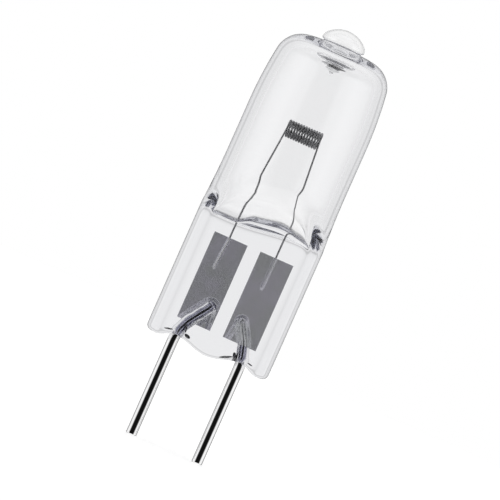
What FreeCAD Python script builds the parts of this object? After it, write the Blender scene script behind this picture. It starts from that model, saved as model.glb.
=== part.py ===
import FreeCAD, Part
import math
import os

# Two-pin halogen capsule bulb: a clear quartz envelope that is pinched flat at its foot over two
# molybdenum foils, with two bent lead pins below and a flat-core tungsten filament above.
#
# Frame: +Z runs up the bulb axis. The origin lies midway between the pin tips. +X runs from the left
# pin to the right pin, and the flat faces of the pinch look along -Y and +Y. All sizes are in mm.

Vector = FreeCAD.Vector

# Lead pins
PIN_SPACING = 6.35
PIN_D = 1.0
PIN_TIP_CHAMFER = 0.08
PIN_EXPOSED = 9.05
PIN_SEAL_DEPTH = 4.4
LEFT_PIN_BEND_R = 4.3
RIGHT_PIN_BEND_R = 5.8
LEFT_PIN_BEND_DEG = 34.0
RIGHT_PIN_BEND_DEG = 30.0
PIN_WELD_DEPTH = 0.08

# Sealing foils
FOIL_LENGTH = 8.25
FOIL_WIDTH = 3.18
FOIL_T = 0.04
FOIL_EDGE_T = 0.012
FOIL_EDGE_W = 0.35
FOIL_PIN_OVERLAP = 2.26
LEFT_FOIL_OUTSET = 1.0
RIGHT_FOIL_OUTSET = 0.8

# Pinch seal
PINCH_SPREAD = 0.2
PINCH_RIM_T = 3.9
PINCH_PANEL_DEPTH = 0.4
PINCH_PANEL_INSET = 1.2
PINCH_PANEL_SLOPE = 0.3
PINCH_PANEL_R = 0.2
PINCH_ABOVE_FOIL = 2.0
FOOT_LOBE_SHARE = 0.625
PINCH_EDGE_R = 0.8
FOOT_EDGE_R = 0.55
PINCH_PANEL_ABOVE_FOOT = 1.5
FOOT_LOBE_RISE = 0.1
FOOT_PIN_RISE = 0.65
PIN_POCKET_MOUTH = 0.28
PIN_POCKET_CLEARANCE = 0.06
PIN_POCKET_DEPTH = 0.45

# Tube, shoulder and dome
TUBE_D = 11.28
TUBE_WALL = 1.0
SHOULDER_DEG = 50.0
SHOULDER_INNER_R = 1.6
FLARE_LENGTH = 5.55
TUBE_STRAIGHT_LENGTH = 4.3
DOME_SIDE_R = 38.0
DOME_SIDE_LENGTH = 5.3
DOME_CROWN_RUN = 0.94
DOME_CROWN_RISE = 0.1

# Sealed exhaust tip
TIP_R = 2.0
TIP_HEIGHT = 1.3
TIP_CORNER_R = 0.8
TIP_NECK_R = 0.1
TIP_BUBBLE_WALL = 0.26
TIP_BUBBLE_EDGE_R = 0.2
TIP_DRIP_INSET = 0.55
TIP_DRIP_LENGTH = 1.55
TIP_DRIP_END_R = 0.25
TIP_DRIP_ROOT_EDGE_R = 0.4

# Gas space
CAVITY_EDGE_R = 0.5
CAVITY_FOOT_ABOVE_PINCH = 0.1
CAVITY_FOOT_DEG = 51.8
CAVITY_FOOT_TILT_DEG = 6.0

# Filament
WIRE_D = 0.165
LIGHT_CENTRE = 30.4
COIL_TURNS = 12
COIL_PITCH = 0.2585
COIL_HEIGHT = 1.65
COIL_DEPTH = 0.67
COIL_TURN_DEG = -14.3
LEG_WELD_LENGTH = 3.0
LEG_WELD_DEPTH = 0.02
LEG_BEND_R = 1.2
LEG_DROP = 0.45
LEFT_LEG_OUTSET = 0.15
RIGHT_LEG_OUTSET = -0.12
LEFT_LEG_TOE_OUT = 0.22
RIGHT_LEG_TOE_OUT = -0.06
LEG_KNEE_ABOVE_FOIL = 3.2

# Worked out from the sizes above
LEFT = -1
RIGHT = 1
PIN_R = PIN_D / 2
PIN_X = PIN_SPACING / 2
TUBE_R = TUBE_D / 2
PINCH_R = TUBE_R + PINCH_SPREAD
WIRE_R = WIRE_D / 2
PIN_BEND_R = {LEFT: LEFT_PIN_BEND_R, RIGHT: RIGHT_PIN_BEND_R}
PIN_BEND_DEG = {LEFT: LEFT_PIN_BEND_DEG, RIGHT: RIGHT_PIN_BEND_DEG}
FOIL_OUTSET = {LEFT: LEFT_FOIL_OUTSET, RIGHT: RIGHT_FOIL_OUTSET}
LEG_OUTSET = {LEFT: LEFT_LEG_OUTSET, RIGHT: RIGHT_LEG_OUTSET}
LEG_TOE_OUT = {LEFT: LEFT_LEG_TOE_OUT, RIGHT: RIGHT_LEG_TOE_OUT}
FOOT_Z = PIN_EXPOSED
PIN_END_Z = FOOT_Z + PIN_SEAL_DEPTH
FOIL_FOOT_Z = PIN_END_Z - FOIL_PIN_OVERLAP
FOIL_TOP_Z = FOIL_FOOT_Z + FOIL_LENGTH
FOIL_FACE_Y = PIN_R - PIN_WELD_DEPTH
PINCH_TOP_Z = FOIL_TOP_Z + PINCH_ABOVE_FOIL
CAVITY_FOOT_Z = PINCH_TOP_Z + CAVITY_FOOT_ABOVE_PINCH
FLARE_TOP_Z = PINCH_TOP_Z + FLARE_LENGTH
DOME_SIDE_Z = FLARE_TOP_Z + TUBE_STRAIGHT_LENGTH
DOME_LEAN = math.asin(DOME_SIDE_LENGTH / DOME_SIDE_R)
TIP_NECK_X = TIP_R - TIP_NECK_R
TIP_DRIP_R = TIP_NECK_X - TIP_DRIP_INSET
DOME_CORNER_X = TIP_NECK_X + DOME_CROWN_RUN
DOME_CORNER_R = DOME_SIDE_R - (DOME_CORNER_X + DOME_SIDE_R - TUBE_R) / math.cos(DOME_LEAN)
DOME_CORNER_Z = DOME_SIDE_Z + (DOME_SIDE_R - DOME_CORNER_R) * math.sin(DOME_LEAN)
DOME_TOP_Z = DOME_CORNER_Z + DOME_CORNER_R + DOME_CROWN_RISE
TIP_FOOT_Z = DOME_TOP_Z + 3 * TIP_NECK_R
OVERALL_LENGTH = TIP_FOOT_Z + TIP_HEIGHT
REACH = 4 * PINCH_R

# Modelling values
PINCH_PANEL_CLEAR = 1.0
SHARP_DEG = 15.0
TINY = 0.01


def point(x, z):
    """A point of an outline in the XZ plane."""
    return Vector(x, 0, z)


def tangent_arc(start, direction, end):
    """The arc that leaves start along direction and runs to end, and its direction there."""
    direction = Vector(direction).normalize()
    chord = end - start
    along = chord.dot(direction)
    across = chord - direction * along
    radius = chord.Length ** 2 / (2 * across.Length)
    side = Vector(across).normalize()
    centre = start + side * radius
    half = math.atan2(across.Length, along)
    middle = centre + direction * radius * math.sin(half) - side * radius * math.cos(half)
    leaving = direction * math.cos(2 * half) + side * math.sin(2 * half)
    return Part.Arc(start, middle, end).toShape(), leaving


def line(start, end):
    """A straight edge."""
    return Part.LineSegment(start, end).toShape()


def rounded_path(points, radius):
    """Edges through the points, with an arc of the given radius at each inner point."""
    edges = []
    start = points[0]
    for before, corner, after in zip(points, points[1:], points[2:]):
        towards = (before - corner).normalize()
        away = (after - corner).normalize()
        half = towards.getAngle(away) / 2
        setback = radius / math.tan(half)
        centre = corner + (towards + away).normalize() * (radius / math.sin(half))
        enter = corner + towards * setback
        leave = corner + away * setback
        middle = centre + (corner - centre).normalize() * radius
        edges.append(line(start, enter))
        edges.append(Part.Arc(enter, middle, leave).toShape())
        start = leave
    edges.append(line(start, points[-1]))
    return edges


def round_bar(edges, radius, start, direction):
    """A solid round bar swept along joined edges, which leave start along direction."""
    section = Part.Wire([Part.makeCircle(radius, start, direction)])
    return Part.Wire(edges).makePipeShell([section], True, False)


def flat_solid(edges, depth):
    """A closed outline pushed out by depth to both sides of its plane."""
    face = Part.Face(Part.Wire(edges))
    normal = face.normalAt(0, 0)
    face.translate(normal * -depth)
    return face.extrude(normal * 2 * depth)


def revolved(edges):
    """A closed outline in the XZ plane turned about the bulb axis."""
    face = Part.Face(Part.Wire(edges))
    return face.revolve(Vector(0, 0, 0), Vector(0, 0, 1), 360)


def pin_path(side):
    """Corners of a pin's centre line: tip, bend and inner end."""
    lean = math.radians(PIN_BEND_DEG[side])
    setback = PIN_BEND_R[side] * math.tan(lean / 2)
    corner = Vector(side * PIN_X, 0, FOOT_Z + setback)
    rise = PIN_END_Z - corner.z
    end = corner + Vector(-side * rise * math.tan(lean), 0, rise)
    return [Vector(side * PIN_X, 0, 0), corner, end]


def foil_centre_x(side):
    """Middle of a foil, set outwards from the inner end of its pin."""
    return pin_path(side)[-1].x + side * FOIL_OUTSET[side]


def foil_plane(side):
    """The face of a foil that its pin and filament leg are welded to."""
    return -side * FOIL_FACE_Y


def weld_space(side):
    """The space beyond a foil's welded face, which the pin and the leg are cut back from."""
    low_x = 0 if side == RIGHT else -REACH
    low_y = foil_plane(side) if side == LEFT else foil_plane(side) - REACH
    return Part.makeBox(REACH, REACH, FOIL_LENGTH, Vector(low_x, low_y, FOIL_FOOT_Z))


def make_pin(side):
    """A lead pin, bent inwards in the glass and flattened where its foil is welded on."""
    path = pin_path(side)
    pin = round_bar(rounded_path(path, PIN_BEND_R[side]), PIN_R, path[0], Vector(0, 0, 1))
    tip_edges = [edge for edge in pin.Edges if edge.BoundBox.ZMax < TINY]
    return pin.makeChamfer(PIN_TIP_CHAMFER, tip_edges).cut(weld_space(side))


def make_foil(side):
    """A flat foil with feathered long edges."""
    half_w = FOIL_WIDTH / 2
    flat_w = half_w - FOIL_EDGE_W
    edge_t = (FOIL_T - FOIL_EDGE_T) / 2
    section = [(-half_w, edge_t), (-flat_w, 0), (flat_w, 0), (half_w, edge_t),
               (half_w, FOIL_T - edge_t), (flat_w, FOIL_T), (-flat_w, FOIL_T), (-half_w, FOIL_T - edge_t)]
    corners = [Vector(foil_centre_x(side) + x, foil_plane(side) - side * y, FOIL_FOOT_Z) for x, y in section]
    return Part.Face(Part.makePolygon(corners + corners[:1])).extrude(Vector(0, 0, FOIL_LENGTH))


def coil_sizes():
    """Half depth of the coil's centre line, and the heights where its strands meet the bends."""
    half_depth = (COIL_DEPTH - WIRE_D) / 2
    half_strand = (COIL_HEIGHT - WIRE_D) / 2 - half_depth
    return half_depth, LIGHT_CENTRE - half_strand, LIGHT_CENTRE + half_strand


def strand(start, end):
    """One side of a turn: two arcs that shift the wire half a pitch and leave it upright."""
    middle = (start + end) * 0.5
    upright = Vector(0, 0, math.copysign(1, end.z - start.z))
    first, leaving = tangent_arc(start, upright, middle)
    second, _ = tangent_arc(middle, leaving, end)
    return [first, second]


def bend(x, z, height, y_from):
    """The half circle that takes the wire over the core from y_from to -y_from."""
    return Part.Arc(Vector(x, y_from, z), Vector(x, 0, z + height), Vector(x, -y_from, z)).toShape()


def coil_turn():
    """The coil's small turn about the bulb's axis."""
    return FreeCAD.Placement(Vector(0, 0, 0), FreeCAD.Rotation(Vector(0, 0, 1), COIL_TURN_DEG))


def make_coil_path():
    """Centre line of the coil, from the top of the left leg to the top of the right leg."""
    half_depth, low, high = coil_sizes()
    x = -COIL_TURNS * COIL_PITCH / 2
    edges = [bend(x, high, half_depth, -half_depth)]
    for _ in range(COIL_TURNS):
        x_low = x + COIL_PITCH / 2
        x_next = x + COIL_PITCH
        edges += strand(Vector(x, half_depth, high), Vector(x_low, half_depth, low))
        edges.append(bend(x_low, low, -half_depth, half_depth))
        edges += strand(Vector(x_low, -half_depth, low), Vector(x_next, -half_depth, high))
        edges.append(bend(x_next, high, half_depth, -half_depth))
        x = x_next
    return [edge.transformed(coil_turn().toMatrix()) for edge in edges]


def leg_path(side):
    """Corners of a filament leg, from its weld on the foil up to the coil."""
    half_depth, _, high = coil_sizes()
    coil_end = coil_turn().multVec(Vector(side * COIL_TURNS * COIL_PITCH / 2, side * half_depth, high))
    weld_x = foil_centre_x(side) + side * LEG_OUTSET[side]
    weld_y = foil_plane(side) + side * (WIRE_R - LEG_WELD_DEPTH)
    weld_top = Vector(weld_x, weld_y, FOIL_TOP_Z)
    weld_end = weld_top + Vector(side * LEG_TOE_OUT[side], 0, -LEG_WELD_LENGTH)
    drop = coil_end - Vector(0, 0, LEG_DROP)
    knee_share = LEG_KNEE_ABOVE_FOIL / (drop.z - weld_top.z)
    knee = weld_top + (drop - weld_top) * knee_share
    knee.x = weld_x
    return [weld_end, weld_top, knee, drop, coil_end]


def make_filament():
    """The flat-core coil and its two legs, all one wire, flattened where the legs are welded."""
    left, right = leg_path(LEFT), leg_path(RIGHT)
    edges = rounded_path(left, LEG_BEND_R) + make_coil_path() + rounded_path(right[::-1], LEG_BEND_R)
    wire = round_bar(edges, WIRE_R, left[0], left[1] - left[0])
    return wire.cut([weld_space(LEFT), weld_space(RIGHT)])


def crown_over(top, corner, corner_r):
    """The circle that is level at top and runs on into the round corner: its centre and radius."""
    rise = top.z - corner.z - corner_r
    radius = ((corner - top).Length ** 2 - corner_r ** 2) / (2 * rise)
    return top - point(0, radius), radius


def dome_outline(wall):
    """The dome's outline at a depth below the outer surface, from the tip's neck down to the tube."""
    side = point(TUBE_R - DOME_SIDE_R, DOME_SIDE_Z)
    corner = point(DOME_CORNER_X, DOME_CORNER_Z)
    crown, crown_r = crown_over(point(TIP_NECK_X, DOME_TOP_Z), corner, DOME_CORNER_R)
    start = crown + point(0, crown_r - wall)
    crown_end = crown + (corner - crown).normalize() * (crown_r - wall)
    side_top = side + (corner - side).normalize() * (DOME_SIDE_R - wall)
    foot = side + point(DOME_SIDE_R - wall, 0)
    crown_arc, leaving = tangent_arc(start, point(1, 0), crown_end)
    corner_arc, leaving = tangent_arc(crown_end, leaving, side_top)
    side_arc, _ = tangent_arc(side_top, leaving, foot)
    return start, [crown_arc, corner_arc, side_arc], foot


def cap_outline(wall):
    """The tip's cap at a depth below its outer surface, from its top down to its widest point."""
    corner = point(TIP_R - TIP_CORNER_R, TIP_FOOT_Z)
    crown, crown_r = crown_over(point(0, OVERALL_LENGTH), corner, TIP_CORNER_R)
    top = point(0, OVERALL_LENGTH - wall)
    crown_end = crown + (corner - crown).normalize() * (crown_r - wall)
    edge = point(TIP_R - wall, TIP_FOOT_Z)
    crown_arc, leaving = tangent_arc(top, point(1, 0), crown_end)
    corner_arc, _ = tangent_arc(crown_end, leaving, edge)
    return top, [crown_arc, corner_arc], edge


def tip_outline():
    """The tip's outline, from its top down to the groove where it sits on the dome."""
    top, cap, edge = cap_outline(0)
    lip_foot = point(TIP_NECK_X, TIP_FOOT_Z - TIP_NECK_R)
    groove = lip_foot - point(TIP_NECK_R, TIP_NECK_R)
    dome_top = point(TIP_NECK_X, DOME_TOP_Z)
    lip_arc, _ = tangent_arc(edge, point(0, -1), lip_foot)
    return top, cap + [lip_arc, Part.Arc(lip_foot, groove, dome_top).toShape()]


def make_turned_glass():
    """Tip, dome and tube as turned glass that widens a little towards the pinch."""
    top, tip = tip_outline()
    _, dome, dome_foot = dome_outline(0)
    flare_top = point(TUBE_R, FLARE_TOP_Z)
    flare_foot = point(PINCH_R, PINCH_TOP_Z)
    flare, _ = tangent_arc(flare_top, point(0, -1), flare_foot)
    foot = point(PINCH_R, 0)
    edges = tip + dome + [line(dome_foot, flare_top), flare, line(flare_foot, foot),
                          line(foot, point(0, 0)), line(point(0, 0), top)]
    return revolved(edges)


def make_press_form():
    """The space left between the pinch jaws: flat below, and sloping out past the tube above."""
    half_t = PINCH_RIM_T / 2
    out = PINCH_R
    rise = out / math.tan(math.radians(SHOULDER_DEG))
    right = [Vector(0, half_t, 0), Vector(0, half_t, PINCH_TOP_Z),
             Vector(0, half_t + out, PINCH_TOP_Z + rise)]
    left = [Vector(0, -p.y, p.z) for p in right]
    roof = [Vector(0, y, 2 * OVERALL_LENGTH) for y in (half_t + out, -half_t - out)]
    edges = rounded_path(right, SHOULDER_INNER_R) + rounded_path(left, SHOULDER_INNER_R)
    edges += [line(right[-1], roof[0]), line(*roof), line(roof[1], left[-1]), line(left[0], right[0])]
    return flat_solid(Part.__sortEdges__(edges), REACH)


def make_below_foot():
    """Everything below the wavy lower edge of the pinch, drawn up where the pins leave it."""
    lobe_z = FOOT_Z + FOOT_LOBE_RISE
    lobe_x = PIN_X + (PINCH_R - PIN_X) * FOOT_LOBE_SHARE
    half = [Vector(REACH, 0, lobe_z), Vector(lobe_x, 0, lobe_z), Vector(PIN_X, 0, FOOT_Z + FOOT_PIN_RISE)]
    wave_points = [Vector(-p.x, 0, p.z) for p in half] + [Vector(0, 0, FOOT_Z)] + half[::-1]
    level = [Vector(1, 0, 0)] * len(wave_points)
    wave = Part.BSplineCurve()
    wave.interpolate(Points=wave_points, Tangents=level, TangentFlags=[True] * len(level))
    below = [half[0], Vector(REACH, 0, -REACH), Vector(-REACH, 0, -REACH), wave_points[0]]
    return flat_solid([wave.toShape()] + [line(a, b) for a, b in zip(below, below[1:])], REACH)


def sharp_edges(solid, z_top):
    """Edges of a solid below z_top where two faces meet at a real corner."""
    found = []
    for edge in solid.Edges:
        faces = solid.ancestorsOfType(edge, Part.Face)
        if len(faces) != 2 or edge.CenterOfMass.z > z_top:
            continue
        middle = edge.valueAt((edge.FirstParameter + edge.LastParameter) / 2)
        normals = [face.normalAt(*face.Surface.parameter(middle)) for face in faces]
        if normals[0].getAngle(normals[1]) > math.radians(SHARP_DEG):
            found.append(edge)
    return found


def make_panel(side_y):
    """The shallow pressed panel in one face of the pinch, with sloping sides and ends."""
    floor_y = PINCH_RIM_T / 2 - PINCH_PANEL_DEPTH
    mouth_y = PINCH_RIM_T / 2 + PINCH_PANEL_CLEAR
    spread = PINCH_PANEL_SLOPE * (mouth_y - floor_y) / PINCH_PANEL_DEPTH
    half_w = PINCH_R - PINCH_PANEL_INSET
    low = FOOT_Z + PINCH_PANEL_ABOVE_FOOT
    high = PINCH_TOP_Z - PINCH_PANEL_SLOPE
    rings = []
    for y, grow in ((floor_y, 0), (mouth_y, spread)):
        lower = [Vector(x, side_y * y, low - grow) for x in (-half_w - grow, half_w + grow)]
        upper = [Vector(x, side_y * y, high + grow) for x in (half_w + grow, -half_w - grow)]
        rings.append(Part.makePolygon(lower + upper + lower[:1]))
    panel = Part.makeLoft(rings, True, True)
    floor_edges = [edge for edge in panel.Edges if abs(edge.CenterOfMass.y) < floor_y + TINY]
    return panel.makeFillet(PINCH_PANEL_R, floor_edges)


def make_outer_glass():
    """The outer form of the envelope, solid inside, with its pressed edges rounded."""
    glass = make_turned_glass().common(make_press_form()).Solids[0]
    pressed = [edge for edge in sharp_edges(glass, FLARE_TOP_Z) if edge.BoundBox.ZMax > TINY]
    glass = glass.makeFillet(PINCH_EDGE_R, pressed).cut(make_below_foot()).Solids[0]
    glass = glass.makeFillet(FOOT_EDGE_R, sharp_edges(glass, FOOT_Z + FOOT_PIN_RISE))
    return glass.cut([make_panel(1), make_panel(-1)])


def make_gas_space():
    """The hollow inside: tube and dome, less the drip under the tip, and the pressed-in foot."""
    crown, dome, dome_foot = dome_outline(TUBE_WALL)
    top = point(0, crown.z)
    foot = point(0, PINCH_TOP_Z)
    tube_foot = point(dome_foot.x, PINCH_TOP_Z)
    edges = [line(top, crown)] + dome + [line(dome_foot, tube_foot), line(tube_foot, foot), line(foot, top)]
    space = revolved(edges).common(make_gas_wedge()).Solids[0]
    space = space.makeFillet(CAVITY_EDGE_R, sharp_edges(space, FLARE_TOP_Z))
    space = space.cut(make_tip_drip(crown.z)).Solids[0]
    root = [edge for edge in sharp_edges(space, OVERALL_LENGTH) if abs(edge.CenterOfMass.z - crown.z) < TINY]
    return space.makeFillet(TIP_DRIP_ROOT_EDGE_R, root)


def make_gas_wedge():
    """The space above the pinched inner walls, which leave the bore level with the top of the
    shoulders and run down to a round bottom that is tilted a little along X."""
    half_angle = math.radians(CAVITY_FOOT_DEG)
    out = REACH * math.sin(half_angle)
    rise = REACH * math.cos(half_angle)
    shoulder_top_z = PINCH_TOP_Z + (TUBE_R - PINCH_RIM_T / 2) / math.tan(math.radians(SHOULDER_DEG))
    root_z = shoulder_top_z - (TUBE_R - TUBE_WALL) / math.tan(half_angle)
    foot_r = (CAVITY_FOOT_Z - root_z) / (1 / math.sin(half_angle) - 1)
    slopes = [Vector(0, -out, root_z + rise), Vector(0, 0, root_z), Vector(0, out, root_z + rise)]
    roof = [Vector(0, y, 2 * OVERALL_LENGTH) for y in (out, -out)]
    edges = rounded_path(slopes, foot_r)
    edges += [line(slopes[-1], roof[0]), line(*roof), line(roof[1], slopes[0])]
    wedge = flat_solid(edges, REACH)
    wedge.rotate(Vector(0, 0, CAVITY_FOOT_Z), Vector(0, 1, 0), -CAVITY_FOOT_TILT_DEG)
    return wedge


def make_tip_bubble():
    """The flat-bottomed bubble of gas that was closed off inside the tip."""
    top, cap, edge = cap_outline(TIP_BUBBLE_WALL)
    floor_edge = edge - point(TIP_BUBBLE_EDGE_R, TIP_BUBBLE_EDGE_R)
    floor_middle = point(0, floor_edge.z)
    rim_arc, _ = tangent_arc(edge, point(0, -1), floor_edge)
    return revolved(cap + [rim_arc, line(floor_edge, floor_middle), line(floor_middle, top)])


def make_tip_drip(crown_z):
    """The round-ended drip of glass drawn in under the tip when the exhaust tube was melted shut."""
    ball_z = crown_z - TIP_DRIP_LENGTH + TIP_DRIP_END_R
    cone = Part.makeCone(TIP_DRIP_END_R, TIP_DRIP_R, crown_z - ball_z, Vector(0, 0, ball_z))
    root = Part.makeCylinder(TIP_DRIP_R, TUBE_WALL / 2, Vector(0, 0, crown_z))
    return cone.fuse([Part.makeSphere(TIP_DRIP_END_R, Vector(0, 0, ball_z)), root]).removeSplitter()


def make_pin_pocket(side):
    """The narrow funnel left around a pin where it leaves the glass."""
    mouth_z = FOOT_Z + FOOT_PIN_RISE
    funnel = Part.makeCone(PIN_R + PIN_POCKET_MOUTH, PIN_R + PIN_POCKET_CLEARANCE, PIN_POCKET_DEPTH,
                           Vector(side * PIN_X, 0, mouth_z))
    below = Part.makeCylinder(PIN_R + PIN_POCKET_MOUTH, FOOT_PIN_RISE, Vector(side * PIN_X, 0, FOOT_Z))
    return funnel.fuse(below)


def make_envelope(metal):
    """The quartz envelope, sealed round the metal pieces that pass through it."""
    glass = make_outer_glass().cut([make_gas_space(), make_tip_bubble()])
    glass = glass.cut([make_pin_pocket(LEFT), make_pin_pocket(RIGHT)])
    return glass.cut(metal)


def main():
    """Make each piece and write it out."""
    pieces = {"filament": make_filament()}
    for name, side in (("left", LEFT), ("right", RIGHT)):
        pieces["pin_" + name] = make_pin(side)
        pieces["foil_" + name] = make_foil(side)
    pieces["quartz_envelope"] = make_envelope(list(pieces.values()))
    os.makedirs("parts", exist_ok=True)
    for name, shape in pieces.items():
        shape.Solids[0].exportStep("parts/" + name + ".step")


if __name__ == "__main__":
    main()
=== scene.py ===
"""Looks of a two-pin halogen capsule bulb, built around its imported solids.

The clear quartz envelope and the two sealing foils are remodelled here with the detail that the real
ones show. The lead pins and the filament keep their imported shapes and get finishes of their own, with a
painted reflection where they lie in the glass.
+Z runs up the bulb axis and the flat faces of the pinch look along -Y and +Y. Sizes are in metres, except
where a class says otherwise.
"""

import logging
import math
from collections.abc import Iterator
from contextlib import contextmanager
from dataclasses import dataclass, field
from enum import Enum

import bpy
import numpy as np
from mathutils import Matrix, Vector, noise


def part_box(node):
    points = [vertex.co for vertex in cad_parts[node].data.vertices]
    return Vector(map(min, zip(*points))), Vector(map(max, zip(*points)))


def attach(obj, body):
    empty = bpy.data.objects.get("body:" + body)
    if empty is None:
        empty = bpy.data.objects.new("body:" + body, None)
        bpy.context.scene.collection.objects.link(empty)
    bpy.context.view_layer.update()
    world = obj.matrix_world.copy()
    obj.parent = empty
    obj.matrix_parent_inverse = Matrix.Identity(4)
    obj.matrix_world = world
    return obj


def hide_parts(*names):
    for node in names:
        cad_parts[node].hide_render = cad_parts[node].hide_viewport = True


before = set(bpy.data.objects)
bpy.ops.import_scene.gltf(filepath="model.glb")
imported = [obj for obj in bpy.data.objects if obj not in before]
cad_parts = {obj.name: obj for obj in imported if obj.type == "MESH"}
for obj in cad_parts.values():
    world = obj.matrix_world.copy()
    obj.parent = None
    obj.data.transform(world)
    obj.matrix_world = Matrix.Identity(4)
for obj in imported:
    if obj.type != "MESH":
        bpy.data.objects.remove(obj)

LOG = logging.getLogger("halogen_bulb")
MM = 0.001
TURN = 2 * math.pi
BODY = "root"

# Vertices that lie this close are one.
MERGE_GAP = 0.0005 * MM
# A length too small to see, which keeps divisions clear of zero.
SPECK = 1e-9
# How far below its own height a ring's vertices may lie.
RING_SLACK = 0.0001 * MM

TUBE_RADIUS = 5.64 * MM
TUBE_WALL = 1.0 * MM
PINCH_FOOT = 9.05 * MM
PINCH_TOP = 21.45 * MM
PIN_X = 3.175 * MM
FOIL_TOP = 19.44 * MM

Colour = tuple[float, float, float]
Span = tuple[float, float]
Stops = tuple[tuple[float, float], ...]
WHITE: Colour = (1.0, 1.0, 1.0)
# Nearly all of a noise texture's values lie between these two.
NOISE_SPAN: Span = (0.3, 0.7)
# The Mix node's sockets for colours: its factor, its two colours and its result.
MIX_FACTOR, MIX_FIRST, MIX_SECOND, MIX_RESULT = 0, 6, 7, 2


class Side(Enum):
    """The two sides of the bulb, each with the sign of its X."""

    LEFT = -1
    RIGHT = 1

    @property
    def label(self) -> str:
        """The side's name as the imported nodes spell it."""
        return self.name.lower()


def clear_selection() -> None:
    """Leave nothing selected and nothing active, so that an operator acts on new work only."""
    for chosen in list(bpy.context.selected_objects):
        chosen.select_set(False)
    bpy.context.view_layer.objects.active = None


def make_active(piece: bpy.types.Object) -> None:
    """Select one piece alone and make it the active one.

    Args:
        piece: The object that the next operators work on.
    """
    clear_selection()
    piece.select_set(True)
    bpy.context.view_layer.objects.active = piece


@contextmanager
def editing() -> Iterator[None]:
    """Edit the active mesh, with all of it selected at the start."""
    bpy.ops.object.mode_set(mode="EDIT")
    bpy.ops.mesh.select_all(action="SELECT")
    yield
    bpy.ops.object.mode_set(mode="OBJECT")


def smooth_step(value: np.ndarray, low: float, high: float) -> np.ndarray:
    """Rise smoothly from 0 at low to 1 at high.

    Args:
        value: Where to work it out.
        low: The value at and below which the result is 0.
        high: The value at and above which the result is 1.

    Returns:
        The share between 0 and 1 at each value.
    """
    share = np.clip((value - low) / (high - low), 0.0, 1.0)
    return share * share * (3.0 - 2.0 * share)


def rounded_min(first: np.ndarray, second: np.ndarray, blend: float) -> np.ndarray:
    """The smaller of two values, with the corner between them rounded off.

    Args:
        first: One set of values.
        second: The other set.
        blend: How far apart the two may be where the rounding starts.

    Returns:
        The blended smaller value.
    """
    near = np.clip(blend - np.abs(first - second), 0.0, None) / blend
    return np.minimum(first, second) - near * near * blend / 4.0


def rounded_max(first: np.ndarray, second: np.ndarray, blend: float) -> np.ndarray:
    """The larger of two values, with the corner between them rounded off."""
    return -rounded_min(-first, -second, blend)


def read_points(piece: bpy.types.Object) -> np.ndarray:
    """Read the places of a mesh's vertices.

    Args:
        piece: The mesh object.

    Returns:
        One row of X, Y and Z for each vertex.
    """
    places = np.empty(len(piece.data.vertices) * 3)
    piece.data.vertices.foreach_get("co", places)
    return places.reshape(-1, 3)


def write_points(piece: bpy.types.Object, places: np.ndarray) -> None:
    """Give a mesh's vertices new places.

    Args:
        piece: The mesh object to reshape.
        places: One row of X, Y and Z for each vertex.
    """
    piece.data.vertices.foreach_set("co", places.ravel())
    piece.data.update()


def noise_at(places: np.ndarray, scale: float, seed: float) -> np.ndarray:
    """Smooth noise between about -1 and 1 at each place.

    Args:
        places: One row of X, Y and Z for each point.
        scale: The size of the noise's lumps, in metres.
        seed: An offset that gives each use a pattern of its own.

    Returns:
        One noise value for each place.
    """
    shifted = places / scale + seed
    return np.array([noise.noise(Vector(row)) for row in shifted])


class Outline:
    """A line in the plane of the axis, as pairs of radius and height, drawn from its lowest point."""

    def __init__(self, radius: float, height: float) -> None:
        """Start the outline at one radius and height."""
        self.points: list[tuple[float, float]] = [(radius, height)]

    def line(self, radius: float, height: float, steps: int) -> "Outline":
        """Run straight on to a point.

        Args:
            radius: The radius at the end.
            height: The height at the end.
            steps: How many even steps the run is cut into.

        Returns:
            The outline itself.
        """
        r_from, z_from = self.points[-1]
        for step in range(1, steps + 1):
            share = step / steps
            self.points.append((r_from + (radius - r_from) * share, z_from + (height - z_from) * share))
        return self

    def arc(self, centre: tuple[float, float], radius: float, start: float, end: float,
            steps: int) -> "Outline":
        """Run round an arc.

        Args:
            centre: The arc's centre, as radius and height.
            radius: The arc's own radius.
            start: The angle that the arc starts at, in degrees up from the outward direction.
            end: The angle that it ends at.
            steps: How many even steps the arc is cut into.

        Returns:
            The outline itself.
        """
        for step in range(1, steps + 1):
            angle = math.radians(start + (end - start) * step / steps)
            place = (centre[0] + radius * math.cos(angle), centre[1] + radius * math.sin(angle))
            self.points.append((max(place[0], 0.0), place[1]))
        return self

    def spin(self, name: str, columns: int) -> bpy.types.Object:
        """Draw the outline as a chain of vertices and spin it round the bulb axis.

        Args:
            name: The new object's name.
            columns: How many steps the full turn is cut into.

        Returns:
            The closed form, with its faces pointing outwards.
        """
        clear_selection()
        radius, height = self.points[0]
        bpy.ops.mesh.primitive_plane_add(size=MM, location=(radius, 0.0, height))
        form = bpy.context.object
        form.name = name
        with editing():
            bpy.ops.mesh.merge(type="CENTER")
            for (r_from, z_from), (r_to, z_to) in zip(self.points, self.points[1:]):
                step = (r_to - r_from, 0.0, z_to - z_from)
                bpy.ops.mesh.extrude_vertices_move(TRANSFORM_OT_translate={"value": step})
            bpy.ops.mesh.select_all(action="SELECT")
            bpy.ops.mesh.spin(steps=columns, angle=TURN, center=(0.0, 0.0, 0.0), axis=(0.0, 0.0, 1.0))
            bpy.ops.mesh.select_all(action="SELECT")
            bpy.ops.mesh.remove_doubles(threshold=MERGE_GAP)
            bpy.ops.mesh.normals_make_consistent(inside=False)
        bpy.ops.object.transform_apply(location=True, rotation=True, scale=True)
        return form


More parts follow.
